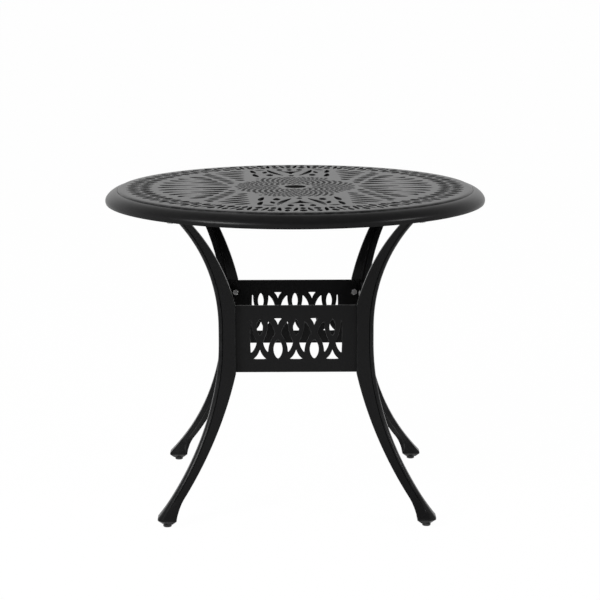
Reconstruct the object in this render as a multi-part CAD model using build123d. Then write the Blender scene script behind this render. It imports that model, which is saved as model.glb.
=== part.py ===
from build123d import *
import math
import os

# Round garden table in cast aluminium: an openwork grille set in a rounded rim, four bowed legs,
# a square of lattice aprons bolted between the legs, and a screw-adjusted glide under each leg.
# Units are millimetres. +Z is up, the front looks along -Y, and the origin is on the floor
# under the middle of the top.

# Overall size
table_diameter = 900.0
table_height = 747.0

# Rim casting
rim_width = 28.0
rim_drop = 33.0
rim_step = 4.5
rim_wall = 8.0
rim_lip = 4.0
rim_tuck = 2.0
rim_fullness = 1.55
rim_facets = 4
ledge_width = 14.0
ledge_thickness = 6.0
lug_width = 32.0
lug_inset = 15.0

# Grille casting
grille_thickness = 8.0
grille_edge_width = 14.0
grille_edge_fall = 4.0
seam_gap = 0.5
umbrella_hole_diameter = 50.0
collar_width = 8.0
collar_depth = 14.0
boss_diameter = 22.0
boss_facets = 8

# Ornament of the grille: rings from the edge inwards, then the figures of the field
ornament_turn = 2.3
plain_border = 18.0
scroll_border = 58.0
ring_band = 15.5
border_waves = 34
border_oval_width = 13.0
border_oval_gap = 5.0
border_slant_width = 8.5
border_slant_foot = 0.165
border_slant_head = 0.335
leaf_facets = 3
rosette_rings = 4
rosette_outer_rings = 2
rosette_outer_spread = 30.0
rosette_first_count = 12
rosette_count_step = 4
rosette_cell_fill = 0.56
rosette_cell_start = 0.16
rosette_cell_end = 1.04

# Figures of the grille's field, in hundredths of the field's radius. A tier of the fan has its inner and
# outer radius, the width of its leaves and their places in steps from the side axis.
rosette_radius = 41.5
fan_step = 8.5
fan_shoulder = 0.6
fan_tiers = (
    (79.4, 97.6, 5.2, (0, 1, 2, 3)),
    (59.4, 76.7, 4.5, (0.5, 1.5, 2.5)),
    (48.5, 58.5, 3.3, (0, 1, 2)),
)

# Legs
leg_waist_half = 180.3
leg_waist_width = 40.0
leg_head_inset = 10.5
foot_inset = 28.5
leg_waist_low = 405.0
leg_waist_high = 440.0
leg_ankle_width = 29.5
leg_shin_width = 33.2
leg_neck_width = 32.7
leg_ankle_height = 60.0
leg_head_width = 27.0
leg_flange = 12.8
toe_width = 44.0
toe_top = 18.0
toe_bevel = 6.0
pad_thickness = 6.0
pad_width = 42.0
pad_end_margin = 16.0
pad_corner = 12.0
outer_bolt_inset = 21.0
pad_bolt_spacing = 79.0

# Aprons
apron_bottom = 333.0
apron_height = 159.0
apron_end_inset = 24.8
apron_thickness = 5.0
apron_corner_cut = 13.0
apron_end_clearance = 2.0
apron_edge_clearance = 0.5
window_width = 213.0
window_height = 97.0
ribbon_pitch = 84.5
ribbon_width = 10.0
ribbon_slope = 1.46
loop_hole_width = 14.4
cup_hole_width = 21.6
loop_cross_rise = 41.0
cup_cross_rise = 60.0

# Fasteners: M8 hexagon bolts, with shanks and holes drawn as flat sided
bolt_diameter = 8.0
bolt_head_across_flats = 13.0
bolt_head_height = 5.3
shank_facets = 6
bolt_clearance = 0.5
thread_clearance = 0.1
apron_bolt_inset = 33.3
apron_bolt_rise = 30.0
apron_bolt_reach = 8.0
top_bolt_reach = 14.0
blind_hole_spare = 1.0

# Levelling glides
glide_height = 8.0
glide_diameter = 20.4
glide_edge = 1.6
glide_floor = 2.5
glide_facets = 12
stud_diameter = 8.0
stud_engagement = 22.0
stud_facets = 10
running_clearance = 0.05

# Places worked out from the sizes above
top_radius = table_diameter / 2
rim_inner_radius = top_radius - rim_width
grille_radius = rim_inner_radius - seam_gap
grille_bottom = table_height - grille_thickness
rim_bottom = table_height - rim_drop
hole_radius = umbrella_hole_diameter / 2
collar_radius = hole_radius + collar_width
border_outer_radius = grille_radius - plain_border
border_inner_radius = border_outer_radius - scroll_border
field_radius = border_inner_radius - ring_band
field_unit = field_radius / 100
pad_bottom = rim_bottom - pad_thickness
outer_bolt_radius = rim_inner_radius - outer_bolt_inset
inner_bolt_radius = outer_bolt_radius - pad_bolt_spacing
leg_head_half = outer_bolt_radius / math.sqrt(2) - leg_head_inset
leg_foot_half = (top_radius - foot_inset) / math.sqrt(2)
leg_seat_edge_half = leg_waist_half - leg_waist_width
toe_bottom = glide_height
toe_outer_half = leg_foot_half + toe_width / 2
apron_top = apron_bottom + apron_height
apron_half_length = leg_waist_half - apron_end_inset
apron_bolt_half_spacing = leg_waist_half - apron_bolt_inset
apron_outer_half = leg_waist_half - leg_flange
apron_inner_half = apron_outer_half - apron_thickness
apron_middle = apron_bottom + apron_height / 2
apron_bolt_heights = (apron_bottom + apron_bolt_rise, apron_top - apron_bolt_rise)
shin_middle = (leg_ankle_height + apron_bottom) / 2
neck_middle = (apron_top + pad_bottom) / 2
bolt_radius = bolt_diameter / 2
stud_radius = stud_diameter / 2
quarter_turns = (0, 90, 180, 270)
leg_diagonal = Plane((0, 0, 0), (1, 1, 0), (1, -1, 0))


def leaf(start, end, bulge, width, facets=leaf_facets):
    """Pointed opening between two points, swollen to a width and bent aside by a bulge."""
    start = Vector(start)
    end = Vector(end)
    along = (end - start).normalized()
    across = Vector(-along.Y, along.X)
    near_side = []
    far_side = []
    for step in range(1, facets):
        share = step / facets
        swell = 4 * share * (1 - share)
        middle = start + (end - start) * share + across * (bulge * swell)
        near_side.append(middle + across * (width / 2 * swell))
        far_side.append(middle - across * (width / 2 * swell))
    return Wire.make_polygon([start, *near_side, end, *far_side[::-1]])


def bowed_outline(corners, sides):
    """Opening whose sides bend through one point each between its corners, or run straight for None."""
    points = []
    for corner, side in zip(corners, sides):
        points.append(corner)
        if side is not None:
            points.append(side)
    return Wire.make_polygon(points)


def kite(inner, outer, width, shoulder):
    """Four-sided opening from an inner to an outer point, widest at a share of its length."""
    inner = Vector(inner)
    outer = Vector(outer)
    along = (outer - inner).normalized()
    across = Vector(-along.Y, along.X) * (width / 2)
    middle = inner + (outer - inner) * shoulder
    return Wire.make_polygon([inner, middle + across, outer, middle - across])


def around(radius, degrees):
    """Point at a radius from the table's middle and an angle from the front to back axis."""
    turn = math.radians(degrees)
    return (radius * math.sin(turn), radius * math.cos(turn))


def in_four_quarters(wires):
    """A quarter's openings with their mirror images to the side and to the back."""
    sideways = wires + [wire.mirror(Plane.YZ) for wire in wires]
    return sideways + [wire.mirror(Plane.XZ) for wire in sideways]


def front_and_back(wires):
    """Openings on the front to back axis, at both ends of it."""
    return wires + [wire.mirror(Plane.XZ) for wire in wires]


def scroll_border_openings():
    """Running scroll inside the plain edge: ovals in and out of a wave, and slants between them."""
    wires = []
    step = 360 / border_waves
    middle_radius = (border_inner_radius + border_outer_radius) / 2
    inner_margin = border_inner_radius + border_oval_gap / 2
    outer_margin = border_outer_radius - border_oval_gap / 2
    near = middle_radius - border_oval_gap / 2
    far = middle_radius + border_oval_gap / 2
    for wave in range(border_waves):
        crest = wave * step
        trough = crest + step / 2
        wires.append(kite(around(inner_margin, crest), around(near, crest), border_oval_width, 0.5))
        wires.append(kite(around(far, trough), around(outer_margin, trough), border_oval_width, 0.5))
        for side in (-1, 1):
            start = around(inner_margin + border_oval_gap, crest + side * border_slant_foot * step)
            end = around(outer_margin - border_oval_gap, crest + side * border_slant_head * step)
            wires.append(kite(start, end, border_slant_width, 0.5))
    return wires


def volute_openings():
    """Scrolls on the front to back axis: one side of the figure, then the openings on the axis itself."""
    side = [
        leaf((5.8, 59.7), (16.7, 93.9), -1.5, 3.3),
        leaf((15.8, 58.5), (16.1, 69.1), 0, 4.5),
        leaf((20, 74.5), (18.5, 84.2), 0, 2.6),
        leaf((22.4, 54.2), (27.6, 92.1), -1.2, 2.9),
        leaf((7.6, 90), (7.6, 98.5), 0, 3.6),
        leaf((19.4, 93), (25.5, 90.6), 0.6, 2.7),
    ]
    star = bowed_outline([(0, 69.7), (7.6, 84.5), (-7.6, 84.5)], [(2.7, 78.5), (0, 83.2), (-2.7, 78.5)])
    tip = kite((0, 51.8), (0, 58.8), 3.9, 0.6)
    return side, [star, tip]


def spandrel_openings():
    """Slots between the two ogee bands of a quarter, a wedge under them, and the openings outside the bands."""
    slots = [
        leaf((45.5, 35.8), (57, 68.5), -0.9, 3.2),
        leaf((41.2, 37.6), (51.5, 64.8), -0.9, 3.2),
        leaf((37.6, 40.6), (45.5, 60.6), -0.9, 3.2),
        leaf((48.5, 75.8), (54.5, 85.5), 0, 3.6),
        leaf((38.2, 80.6), (43, 88.5), 0, 3.6),
        leaf((65.8, 63), (67, 72.1), 0, 3.6),
        leaf((71.8, 48.5), (80.6, 54.4), 0, 4.5),
    ]
    wedge = bowed_outline([(36.1, 61.8), (50, 72.4), (36.1, 74.2)], [(41.5, 68.8), None, None])
    diamond = kite((66.1, 40.6), (66.1, 48.5), 6.1, 0.5)
    return slots + [wedge, diamond]


def fan_openings():
    """Fan on the side axis: tiers of leaves spreading from the middle, each set between the next one's."""
    wires = []
    for inner, outer, width, places in fan_tiers:
        angles = {side * place * fan_step for place in places for side in (-1, 1)}
        for angle in sorted(angles):
            wires.append(kite(around(inner, 90 - angle), around(outer, 90 - angle), width, fan_shoulder))
    return wires


def rosette_openings():
    """Rings of small pointed cells round the umbrella collar, the outer ones only at the front and back."""
    wires = []
    depth = (rosette_radius * field_unit - collar_radius) / rosette_rings
    for ring in range(rosette_rings + rosette_outer_rings):
        inner = collar_radius + depth * (ring + rosette_cell_start)
        outer = collar_radius + depth * (ring + rosette_cell_end)
        count = rosette_first_count + rosette_count_step * ring
        width = rosette_cell_fill * 2 * math.pi * (inner + outer) / 2 / count
        for cell in range(count):
            angle = 360 * (cell + 0.5 * (ring % 2)) / count
            from_axis = abs((angle + 90) % 180 - 90)
            if ring < rosette_rings or from_axis < rosette_outer_spread:
                wires.append(kite(around(inner, angle), around(outer, angle), width, 0.5))
    return wires


def field_openings():
    """All openings inside the ring, brought from hundredths of its radius to their size."""
    quarter, on_axis = volute_openings()
    quarter += spandrel_openings()
    drawn = in_four_quarters(quarter) + front_and_back(on_axis)
    fan = fan_openings()
    drawn += fan + [wire.mirror(Plane.YZ) for wire in fan]
    return [wire.scale(field_unit) for wire in drawn]


def grille():
    """Openwork disc with the umbrella collar and the four inner bolt bosses under it."""
    openings = scroll_border_openings() + field_openings() + rosette_openings()
    openings = [wire.rotate(Axis.Z, ornament_turn) for wire in openings]
    openings.append(Wire.make_circle(hole_radius))
    disc = Face(Wire.make_circle(grille_radius), openings)
    plate = Pos(0, 0, grille_bottom) * extrude(disc, amount=grille_thickness)
    plate -= edge_cutter()
    collar_ring = Circle(collar_radius) - Circle(hole_radius)
    collar = Pos(0, 0, grille_bottom) * extrude(collar_ring, amount=grille_thickness - collar_depth)
    boss = extrude(RegularPolygon(boss_diameter / 2, boss_facets), amount=grille_bottom - rim_bottom)
    boss -= tapped_hole()
    bosses = [Rot(0, 0, turn + 45) * Pos(inner_bolt_radius, 0, rim_bottom) * boss for turn in quarter_turns]
    return plate.fuse(collar, *bosses)


def edge_cutter():
    """Ring that takes the plain edge of the grille down to the rim."""
    inner = grille_radius - grille_edge_width
    outer = grille_radius + grille_edge_width
    section = [(inner, table_height), (outer, table_height), (outer, table_height - 2 * grille_edge_fall)]
    return revolve(Plane.XZ * Face(Wire.make_polygon(section)), Axis.Z)


def bolt_hole(clearance, depth):
    """Hole along +Z from the plane at zero that clears a bolt's shank by a clearance."""
    return extrude(RegularPolygon(bolt_radius + clearance, shank_facets, major_radius=False), amount=depth)


def tapped_hole():
    """Blind hole for a leg bolt, from the underside of the top upwards."""
    return bolt_hole(thread_clearance, top_bolt_reach + blind_hole_spare)


def rim():
    """Rounded edge casting with a ledge under the grille and four lugs for the outer leg bolts."""
    belly = rim_bottom + rim_lip
    round_height = table_height - rim_step - belly
    section = [(top_radius - rim_tuck, rim_bottom)]
    for step in range(rim_facets + 1):
        turn = math.radians(90 * step / rim_facets)
        radius = rim_inner_radius + rim_width * math.cos(turn) ** (2 / rim_fullness)
        section.append((radius, belly + round_height * math.sin(turn) ** (2 / rim_fullness)))
    ledge_edge = rim_inner_radius - ledge_width
    section += [
        (rim_inner_radius, grille_bottom), (ledge_edge, grille_bottom),
        (ledge_edge, grille_bottom - ledge_thickness), (top_radius - rim_wall, rim_bottom)]
    casting = revolve(Plane.XZ * Face(Wire.make_polygon(section)), Axis.Z)
    lug_inner = outer_bolt_radius - lug_inset
    lug_length = rim_inner_radius - lug_inner
    lug = Box(lug_length, lug_width, grille_bottom - rim_bottom, align=(Align.MIN, Align.CENTER, Align.MIN))
    lug -= Pos(lug_inset, 0, 0) * tapped_hole()
    lugs = [Rot(0, 0, turn + 45) * Pos(lug_inner, 0, rim_bottom) * lug for turn in quarter_turns]
    return casting.fuse(*lugs)


def bow_offset(rise, full_rise, full_reach):
    """Sideways reach, at some rise, of an arc that leaves upright and ends at a full rise and reach."""
    radius = (full_rise ** 2 + full_reach ** 2) / (2 * full_reach)
    return radius - math.sqrt(radius ** 2 - rise ** 2)


def leg_outer(height):
    """Distance of a leg's two outer faces from the table's middle planes at a height."""
    if height < leg_waist_low:
        reach = toe_outer_half - leg_waist_half
        return leg_waist_half + bow_offset(leg_waist_low - height, leg_waist_low - toe_top, reach)
    if height > leg_waist_high:
        reach = leg_head_half - leg_waist_half
        return leg_waist_half + bow_offset(height - leg_waist_high, pad_bottom - leg_waist_high, reach)
    return leg_waist_half


def bow(distance, low, high):
    """Arc up a leg through the points that a distance rule gives at two heights and midway."""
    return ThreePointArc(*[(distance(height), height) for height in (low, (low + high) / 2, high)])


def shin_and_neck():
    """Heights and widths of a leg below and above its apron seat, from the ankle up to the head."""
    shin = [
        (leg_ankle_height, leg_ankle_width), (shin_middle, leg_shin_width),
        (apron_bottom, leg_outer(apron_bottom) - leg_seat_edge_half)]
    neck = [
        (apron_top, leg_outer(apron_top) - leg_seat_edge_half), (neck_middle, leg_neck_width),
        (pad_bottom, leg_head_width)]
    return shin, neck


def leg_outline():
    """View of a leg from the front or the side: bowed, widest at the apron and flared at the toe."""
    shin, neck = shin_and_neck()
    shin_points = [(leg_outer(height) - width, height) for height, width in shin]
    neck_points = [(leg_outer(height) - width, height) for height, width in neck]
    toe_near = toe_outer_half - toe_width
    bevel_top = toe_bottom + toe_bevel
    edges = [
        Line((toe_outer_half - toe_bevel, toe_bottom), (toe_outer_half, bevel_top)),
        Line((toe_outer_half, bevel_top), (toe_outer_half, toe_top)),
        bow(leg_outer, toe_top, leg_waist_low),
        Line((leg_waist_half, leg_waist_low), (leg_waist_half, leg_waist_high)),
        bow(leg_outer, leg_waist_high, pad_bottom),
        Line((leg_head_half, pad_bottom), neck_points[2]),
        ThreePointArc(*neck_points[::-1]),
        Line(neck_points[0], shin_points[2]),
        ThreePointArc(*shin_points[::-1]),
        Line(shin_points[0], (toe_near, toe_top)),
        Line((toe_near, toe_top), (toe_near, bevel_top)),
        Line((toe_near, bevel_top), (toe_near + toe_bevel, toe_bottom)),
        Line((toe_near + toe_bevel, toe_bottom), (toe_outer_half - toe_bevel, toe_bottom)),
    ]
    return Face(Wire(edges))


def both_ways(outline):
    """Solid whose front and side views are the same upright outline."""
    along_depth = extrude(Plane.XZ * outline, amount=table_diameter, both=True)
    return along_depth & along_depth.mirror(leg_diagonal)


def inner_slope():
    """Cutter for the sloping face that takes the inner corner off a leg above its ankle."""
    shin, neck = shin_and_neck()
    shin_points = [((2 * leg_outer(z) - width - leg_flange) / math.sqrt(2), z) for z, width in shin]
    neck_points = [((2 * leg_outer(z) - width - leg_flange) / math.sqrt(2), z) for z, width in neck]
    edges = [
        ThreePointArc(*shin_points),
        Line(shin_points[2], neck_points[0]),
        ThreePointArc(*neck_points),
        Line(neck_points[2], (0, pad_bottom)),
        Line((0, pad_bottom), (0, leg_ankle_height)),
        Line((0, leg_ankle_height), shin_points[0]),
    ]
    return extrude(leg_diagonal * Face(Wire(edges)), amount=table_diameter, both=True)


def leg():
    """Leg casting in the quarter where X and Y are positive, with its head pad, seats, toe and holes."""
    casting = both_ways(leg_outline()) - inner_slope() - apron_seats()
    pad_length = outer_bolt_radius - inner_bolt_radius + 2 * pad_end_margin
    pad_outline = Rectangle(pad_length, pad_width)
    pad_outline = chamfer(pad_outline.vertices(), pad_corner)
    pad_place = Rot(0, 0, 45) * Pos((outer_bolt_radius + inner_bolt_radius) / 2, 0, pad_bottom)
    casting += pad_place * extrude(pad_outline, amount=pad_thickness)
    hole = bolt_hole(bolt_clearance, 2 * pad_thickness)
    for radius in (inner_bolt_radius, outer_bolt_radius):
        casting -= Rot(0, 0, 45) * Pos(radius, 0, pad_bottom - pad_thickness / 2) * hole
    stud_hole = RegularPolygon(stud_radius + running_clearance, stud_facets, major_radius=False)
    stud_hole = extrude(stud_hole, amount=stud_engagement + blind_hole_spare)
    return casting - Pos(leg_foot_half, leg_foot_half, toe_bottom) * stud_hole


def apron_seats():
    """Rebates that let an apron's end lie against the back of a leg's flange, with their bolt holes."""
    pocket_end = apron_half_length + apron_end_clearance
    pocket_low = apron_bottom - apron_edge_clearance
    pocket_height = apron_height + 2 * apron_edge_clearance
    pocket = Pos(0, 0, pocket_low) * Box(pocket_end, apron_outer_half, pocket_height, align=Align.MIN)
    hole_depth = apron_bolt_reach + blind_hole_spare
    cutter = pocket
    for height in apron_bolt_heights:
        hole = bolt_hole(thread_clearance, hole_depth)
        cutter += Pos(apron_bolt_half_spacing, apron_outer_half, height) * Rot(-90, 0, 0) * hole
    return cutter + cutter.mirror(leg_diagonal)


def ribbon_openings():
    """Openings of a lattice of standing and hanging ribbon loops, about the middle of an apron's window."""
    low = -window_height / 2
    high = window_height / 2
    half = ribbon_pitch / 2
    waist = ribbon_width / 2 * ribbon_slope
    stand_cross = low + loop_cross_rise
    hang_cross = low + cup_cross_rise
    wires = []
    for column in (-1, 0, 1):
        middle = column * ribbon_pitch
        wires.append(leaf((middle, stand_cross + 15), (middle, high - 2), 0, loop_hole_width))
        wires.append(bowed_outline(
            [(middle, low + 23), (middle + 15.8, low), (middle - 15.8, low)],
            [(middle + 6, low + 9.5), None, (middle - 6, low + 9.5)]))
    for column in (-0.5, 0.5):
        middle = column * ribbon_pitch
        wires.append(leaf((middle, low + 1), (middle, hang_cross - 13.5), 0, cup_hole_width))
        wires.append(bowed_outline(
            [(middle, high - 16), (middle + 9.7, high), (middle - 9.7, high)],
            [(middle + 3.6, high - 7), None, (middle - 3.6, high - 7)]))
    corners = [(19, high - 7), (waist, stand_cross), (19, low + 15.8), (half - waist, hang_cross)]
    sides = [
        (16.8, stand_cross + 25), (11.4, stand_cross - 14), (23.2, low + 39.5), (29.6, hang_cross + 17)]
    between = bowed_outline(corners, sides)
    mirrored = between.mirror(Plane.YZ)
    for column in (-1, 0):
        wires.append(between.moved(Pos(column * ribbon_pitch, 0)))
        wires.append(mirrored.moved(Pos(-column * ribbon_pitch, 0)))
    edge = window_width / 2
    outer_loop = ribbon_pitch
    end_corners = corners[:3] + [(edge - outer_loop, low + 15.8), (edge - outer_loop, high - 7)]
    end = bowed_outline(end_corners, sides[:2] + [None, None, None]).moved(Pos(outer_loop, 0))
    return wires + [end, end.mirror(Plane.YZ)]


def apron():
    """Lattice panel across the back of the table, with cut top corners and its bolt holes."""
    length = apron_half_length
    half = apron_height / 2
    cut = apron_corner_cut
    outline = Wire.make_polygon([
        (-length, -half), (length, -half), (length, half - cut), (length - cut, half),
        (-length + cut, half), (-length, half - cut)])
    holes = ribbon_openings()
    bolt_outline = RegularPolygon(bolt_radius + bolt_clearance, shank_facets, major_radius=False)
    for side in (-1, 1):
        for height in apron_bolt_heights:
            place = Pos(side * apron_bolt_half_spacing, height - apron_middle)
            holes.append((place * bolt_outline).face().outer_wire())
    upright = Plane((0, apron_outer_half, apron_middle), (1, 0, 0), (0, -1, 0))
    return extrude(upright * Face(outline, holes), amount=apron_thickness)


def hex_bolt(grip, reach):
    """Hexagon bolt along +Z whose head bears on the plane at zero, its shank through grip and reach."""
    hexagon = RegularPolygon(bolt_head_across_flats / 2, 6, major_radius=False)
    head = extrude(hexagon, amount=-bolt_head_height)
    return head + extrude(RegularPolygon(bolt_radius, shank_facets), amount=grip + reach)


def top_bolt_places():
    """Places under the leg pads where the bolts into the top go, each pointing up."""
    places = []
    for turn in quarter_turns:
        for radius in (inner_bolt_radius, outer_bolt_radius):
            places.append(Rot(0, 0, turn + 45) * Pos(radius, 0, pad_bottom))
    return places


def apron_bolt_places():
    """Places inside the aprons where the bolts into the legs go, each pointing outwards."""
    places = []
    for turn in quarter_turns:
        for side in (-1, 1):
            for height in apron_bolt_heights:
                seat = Pos(side * apron_bolt_half_spacing, apron_inner_half, height)
                places.append(Rot(0, 0, turn) * seat * Rot(-90, 0, 0))
    return places


def foot_stud():
    """Screw of a levelling glide, from its seat in the glide up into the toe."""
    length = toe_bottom + stud_engagement - glide_floor
    return Pos(0, 0, glide_floor) * extrude(RegularPolygon(stud_radius, stud_facets), amount=length)


def foot_glide():
    """Round glide that stands on the floor, with a blind seat for its screw."""
    body = extrude(RegularPolygon(glide_diameter / 2, glide_facets), amount=glide_height)
    body = chamfer(body.faces().sort_by(Axis.Z)[0].edges(), glide_edge)
    seat = RegularPolygon(stud_radius + running_clearance, stud_facets, major_radius=False)
    return body - Pos(0, 0, glide_floor) * extrude(seat, amount=glide_height)


def save(name, shape):
    """Write one node, a single solid or a group of separate ones, to its own file."""
    solids = shape.solids()
    export_step(solids[0] if len(solids) == 1 else Compound(children=solids), f"parts/{name}.step")


def main():
    """Build every piece in place and write it out."""
    os.makedirs("parts", exist_ok=True)
    save("tabletop_grille", grille())
    save("tabletop_rim", rim())
    corners = {"back_right": 0, "back_left": 90, "front_left": 180, "front_right": 270}
    one_leg = leg()
    foot_place = Pos(leg_foot_half, leg_foot_half, 0)
    for corner, turn in corners.items():
        save(f"leg_{corner}", Rot(0, 0, turn) * one_leg)
        save(f"foot_stud_{corner}", Rot(0, 0, turn) * foot_place * foot_stud())
        save(f"foot_glide_{corner}", Rot(0, 0, turn) * foot_place * foot_glide())
    one_apron = apron()
    for side, turn in {"back": 0, "left": 90, "front": 180, "right": 270}.items():
        save(f"apron_{side}", Rot(0, 0, turn) * one_apron)
    top_bolt = hex_bolt(pad_thickness, top_bolt_reach)
    apron_bolt = hex_bolt(apron_thickness, apron_bolt_reach)
    save("top_bolts", Compound(children=[place * top_bolt for place in top_bolt_places()]))
    save("apron_bolts", Compound(children=[place * apron_bolt for place in apron_bolt_places()]))


main()
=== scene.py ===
"""Looks of a round cast garden table: openwork top, rolled rim, bowed legs, lattice aprons, bolts and feet.

Sizes are millimetres in the table's own frame, with the origin on the floor under the middle of the top,
+Z up and the photographed front towards -Y. Meshes are written in metres.
"""
import logging
import math
from dataclasses import dataclass, field
from enum import Enum
from typing import Iterable, Sequence

import bmesh
import bpy
from mathutils import Matrix, Quaternion, Vector
from mathutils.geometry import delaunay_2d_cdt


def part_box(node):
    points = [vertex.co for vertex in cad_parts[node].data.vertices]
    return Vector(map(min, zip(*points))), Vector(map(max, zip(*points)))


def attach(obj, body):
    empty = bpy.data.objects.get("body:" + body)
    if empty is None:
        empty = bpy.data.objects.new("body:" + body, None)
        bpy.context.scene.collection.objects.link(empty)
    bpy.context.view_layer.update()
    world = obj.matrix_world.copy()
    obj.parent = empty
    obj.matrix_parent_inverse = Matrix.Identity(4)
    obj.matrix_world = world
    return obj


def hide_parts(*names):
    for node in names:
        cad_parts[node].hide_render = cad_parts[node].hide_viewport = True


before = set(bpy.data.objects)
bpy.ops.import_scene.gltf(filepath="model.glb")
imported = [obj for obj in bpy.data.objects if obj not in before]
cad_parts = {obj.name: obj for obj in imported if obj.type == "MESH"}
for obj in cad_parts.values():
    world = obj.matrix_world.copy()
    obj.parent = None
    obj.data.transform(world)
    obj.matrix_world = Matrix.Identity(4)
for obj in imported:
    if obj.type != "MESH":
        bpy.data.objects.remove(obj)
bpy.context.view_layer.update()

LOG = logging.getLogger("garden_table")
MM = 0.001
SMOOTH_LIMIT = math.radians(42)
FRAME_BODY = "table"
PAD_BOLT_RADII = (322.0, 401.0)
LEG_TURN = 45
Point = tuple[float, float]
Pair = tuple[float, float]
Loop = list[Point]
Profile = Sequence[tuple[float, float, float]]
Colour = tuple[float, float, float]
Material = bpy.types.Material
NodeTree = bpy.types.NodeTree
Socket = bpy.types.NodeSocket
Sockets = bpy.types.bpy_prop_collection
Feeds = dict[str | int, Socket | float | Colour]


class Slot(Enum):
    """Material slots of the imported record."""

    CASTING = "cast_frame"
    BOLT = "bolts"
    STUD = "studs"
    GLIDE = "glides"


class Place(Enum):
    """Places round the table, each with its turn from the first one in degrees."""

    @property
    def label(self) -> str:
        """Name of the place as the frame's nodes and bodies spell it."""
        return self.name.lower()


class Corner(Place):
    """Corners of the frame, where the legs stand."""

    BACK_RIGHT = 0
    BACK_LEFT = 90
    FRONT_LEFT = 180
    FRONT_RIGHT = 270


class Side(Place):
    """Sides of the apron square."""

    BACK = 0
    LEFT = 90
    FRONT = 180
    RIGHT = 270


def frame_box(node: str) -> tuple[Vector, Vector]:
    """Lowest and highest corner of a node of the frame, in millimetres."""
    low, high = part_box(node)
    return low / MM, high / MM


def turned(degrees: float, axis: str = "Z") -> Matrix:
    """Turn about an axis of the table's frame."""
    return Matrix.Rotation(math.radians(degrees), 4, axis)


def neighbours(items: Sequence) -> list[tuple]:
    """Each item of a closed loop with the one after it."""
    return list(zip(items, [*items[1:], items[0]]))


def around(radius: float, degrees: float) -> Point:
    """Point at a radius from the table's middle and an angle from the front to back axis."""
    turn = math.radians(degrees)
    return radius * math.sin(turn), radius * math.cos(turn)


def circle(radius: float, segments: int, middle: Point = (0.0, 0.0)) -> Loop:
    """Closed loop of points round a middle."""
    turns = [2 * math.pi * step / segments for step in range(segments)]
    return [(middle[0] + radius * math.cos(turn), middle[1] + radius * math.sin(turn)) for turn in turns]


@dataclass
class Draft:
    """Vertices in millimetres, faces and for each vertex a weight of worn coat and painted edge highlight,
    gathered before a mesh is made.
    """

    points: list[Vector] = field(default_factory=list)
    faces: list[tuple[int, ...]] = field(default_factory=list)
    wear_and_highlight: list[float] = field(default_factory=list)

    def row(self, points: Iterable[Sequence[float]], wear_and_highlight: float | Sequence[float]) -> list[int]:
        """Add a row of vertices.

        Args:
            points: places of the vertices.
            wear_and_highlight: how much the finish is worn there and, on the powder coat, how much highlight
                is painted there, from 0 to 1, for all or for each of them.

        Returns:
            The numbers of the new vertices.
        """
        start = len(self.points)
        self.points.extend(Vector(point) for point in points)
        count = len(self.points) - start
        self.wear_and_highlight.extend([wear_and_highlight] * count if isinstance(wear_and_highlight, float) else wear_and_highlight)
        return list(range(start, start + count))

    def rings(self, profile: Profile, segments: int, middle: Point = (0.0, 0.0)) -> list[list[int]]:
        """Add a round row of vertices for each radius, height and weight of worn coat and painted highlight
        of a turned section.
        """
        return [
            self.row([(x, y, height) for x, y in circle(radius, segments, middle)], weight)
            for radius, height, weight in profile]

    def band(self, lower: list[int], upper: list[int]) -> None:
        """Join two closed rows of the same length with four-sided faces."""
        for (first, second), (third, fourth) in zip(neighbours(lower), neighbours(upper)):
            self.faces.append((first, second, fourth, third))

    def loft(self, rows: list[list[int]]) -> None:
        """Skin a stack of closed rows and close both of its ends.

        Args:
            rows: vertex numbers of each row, from one end to the other.
        """
        for lower, upper in zip(rows, rows[1:]):
            self.band(lower, upper)
        self.faces.append(tuple(reversed(rows[0])))
        self.faces.append(tuple(rows[-1]))

    def move(self, start: int, matrix: Matrix) -> None:
        """Move the vertices from a number onwards by a matrix."""
        for number in range(start, len(self.points)):
            self.points[number] = matrix @ self.points[number]


def make_piece(
    name: str, draft: Draft, finish: Material, body: str, stands_for: str, turn: float = 0.0,
) -> None:
    """Turn a draft into a shaded object that rides on a body of the frame.

    Args:
        name: the new object's name.
        draft: its vertices, faces and weights of worn coat and painted highlight.
        finish: its material.
        body: the body that carries it.
        stands_for: the node of the frame that it replaces.
        turn: degrees about the table's middle from where it was drafted.
    """
    spin = turned(turn) @ Matrix.Scale(MM, 4)
    mesh = bpy.data.meshes.new(name)
    mesh.from_pydata([spin @ point for point in draft.points], [], draft.faces)
    # Weight of worn finish per vertex, which on the powder coat also paints a highlight on rounded edges
    wear_and_highlight = mesh.attributes.new("wear_and_highlight", "FLOAT", "POINT")
    wear_and_highlight.data.foreach_set("value", draft.wear_and_highlight)
    shell = bmesh.new()
    shell.from_mesh(mesh)
    bmesh.ops.recalc_face_normals(shell, faces=shell.faces)
    shell.to_mesh(mesh)
    shell.free()
    mesh.shade_smooth()
    mesh.set_sharp_from_angle(angle=SMOOTH_LIMIT)
    mesh.materials.append(finish)
    made = bpy.data.objects.new(name, mesh)
    bpy.context.scene.collection.objects.link(made)
    steady = made.modifiers.new("steady_shading", "WEIGHTED_NORMAL")
    steady.keep_sharp = True
    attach(made, body)
    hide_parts(stands_for)
    LOG.info("%s: %d vertices on %s", name, len(mesh.vertices), body)


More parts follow.
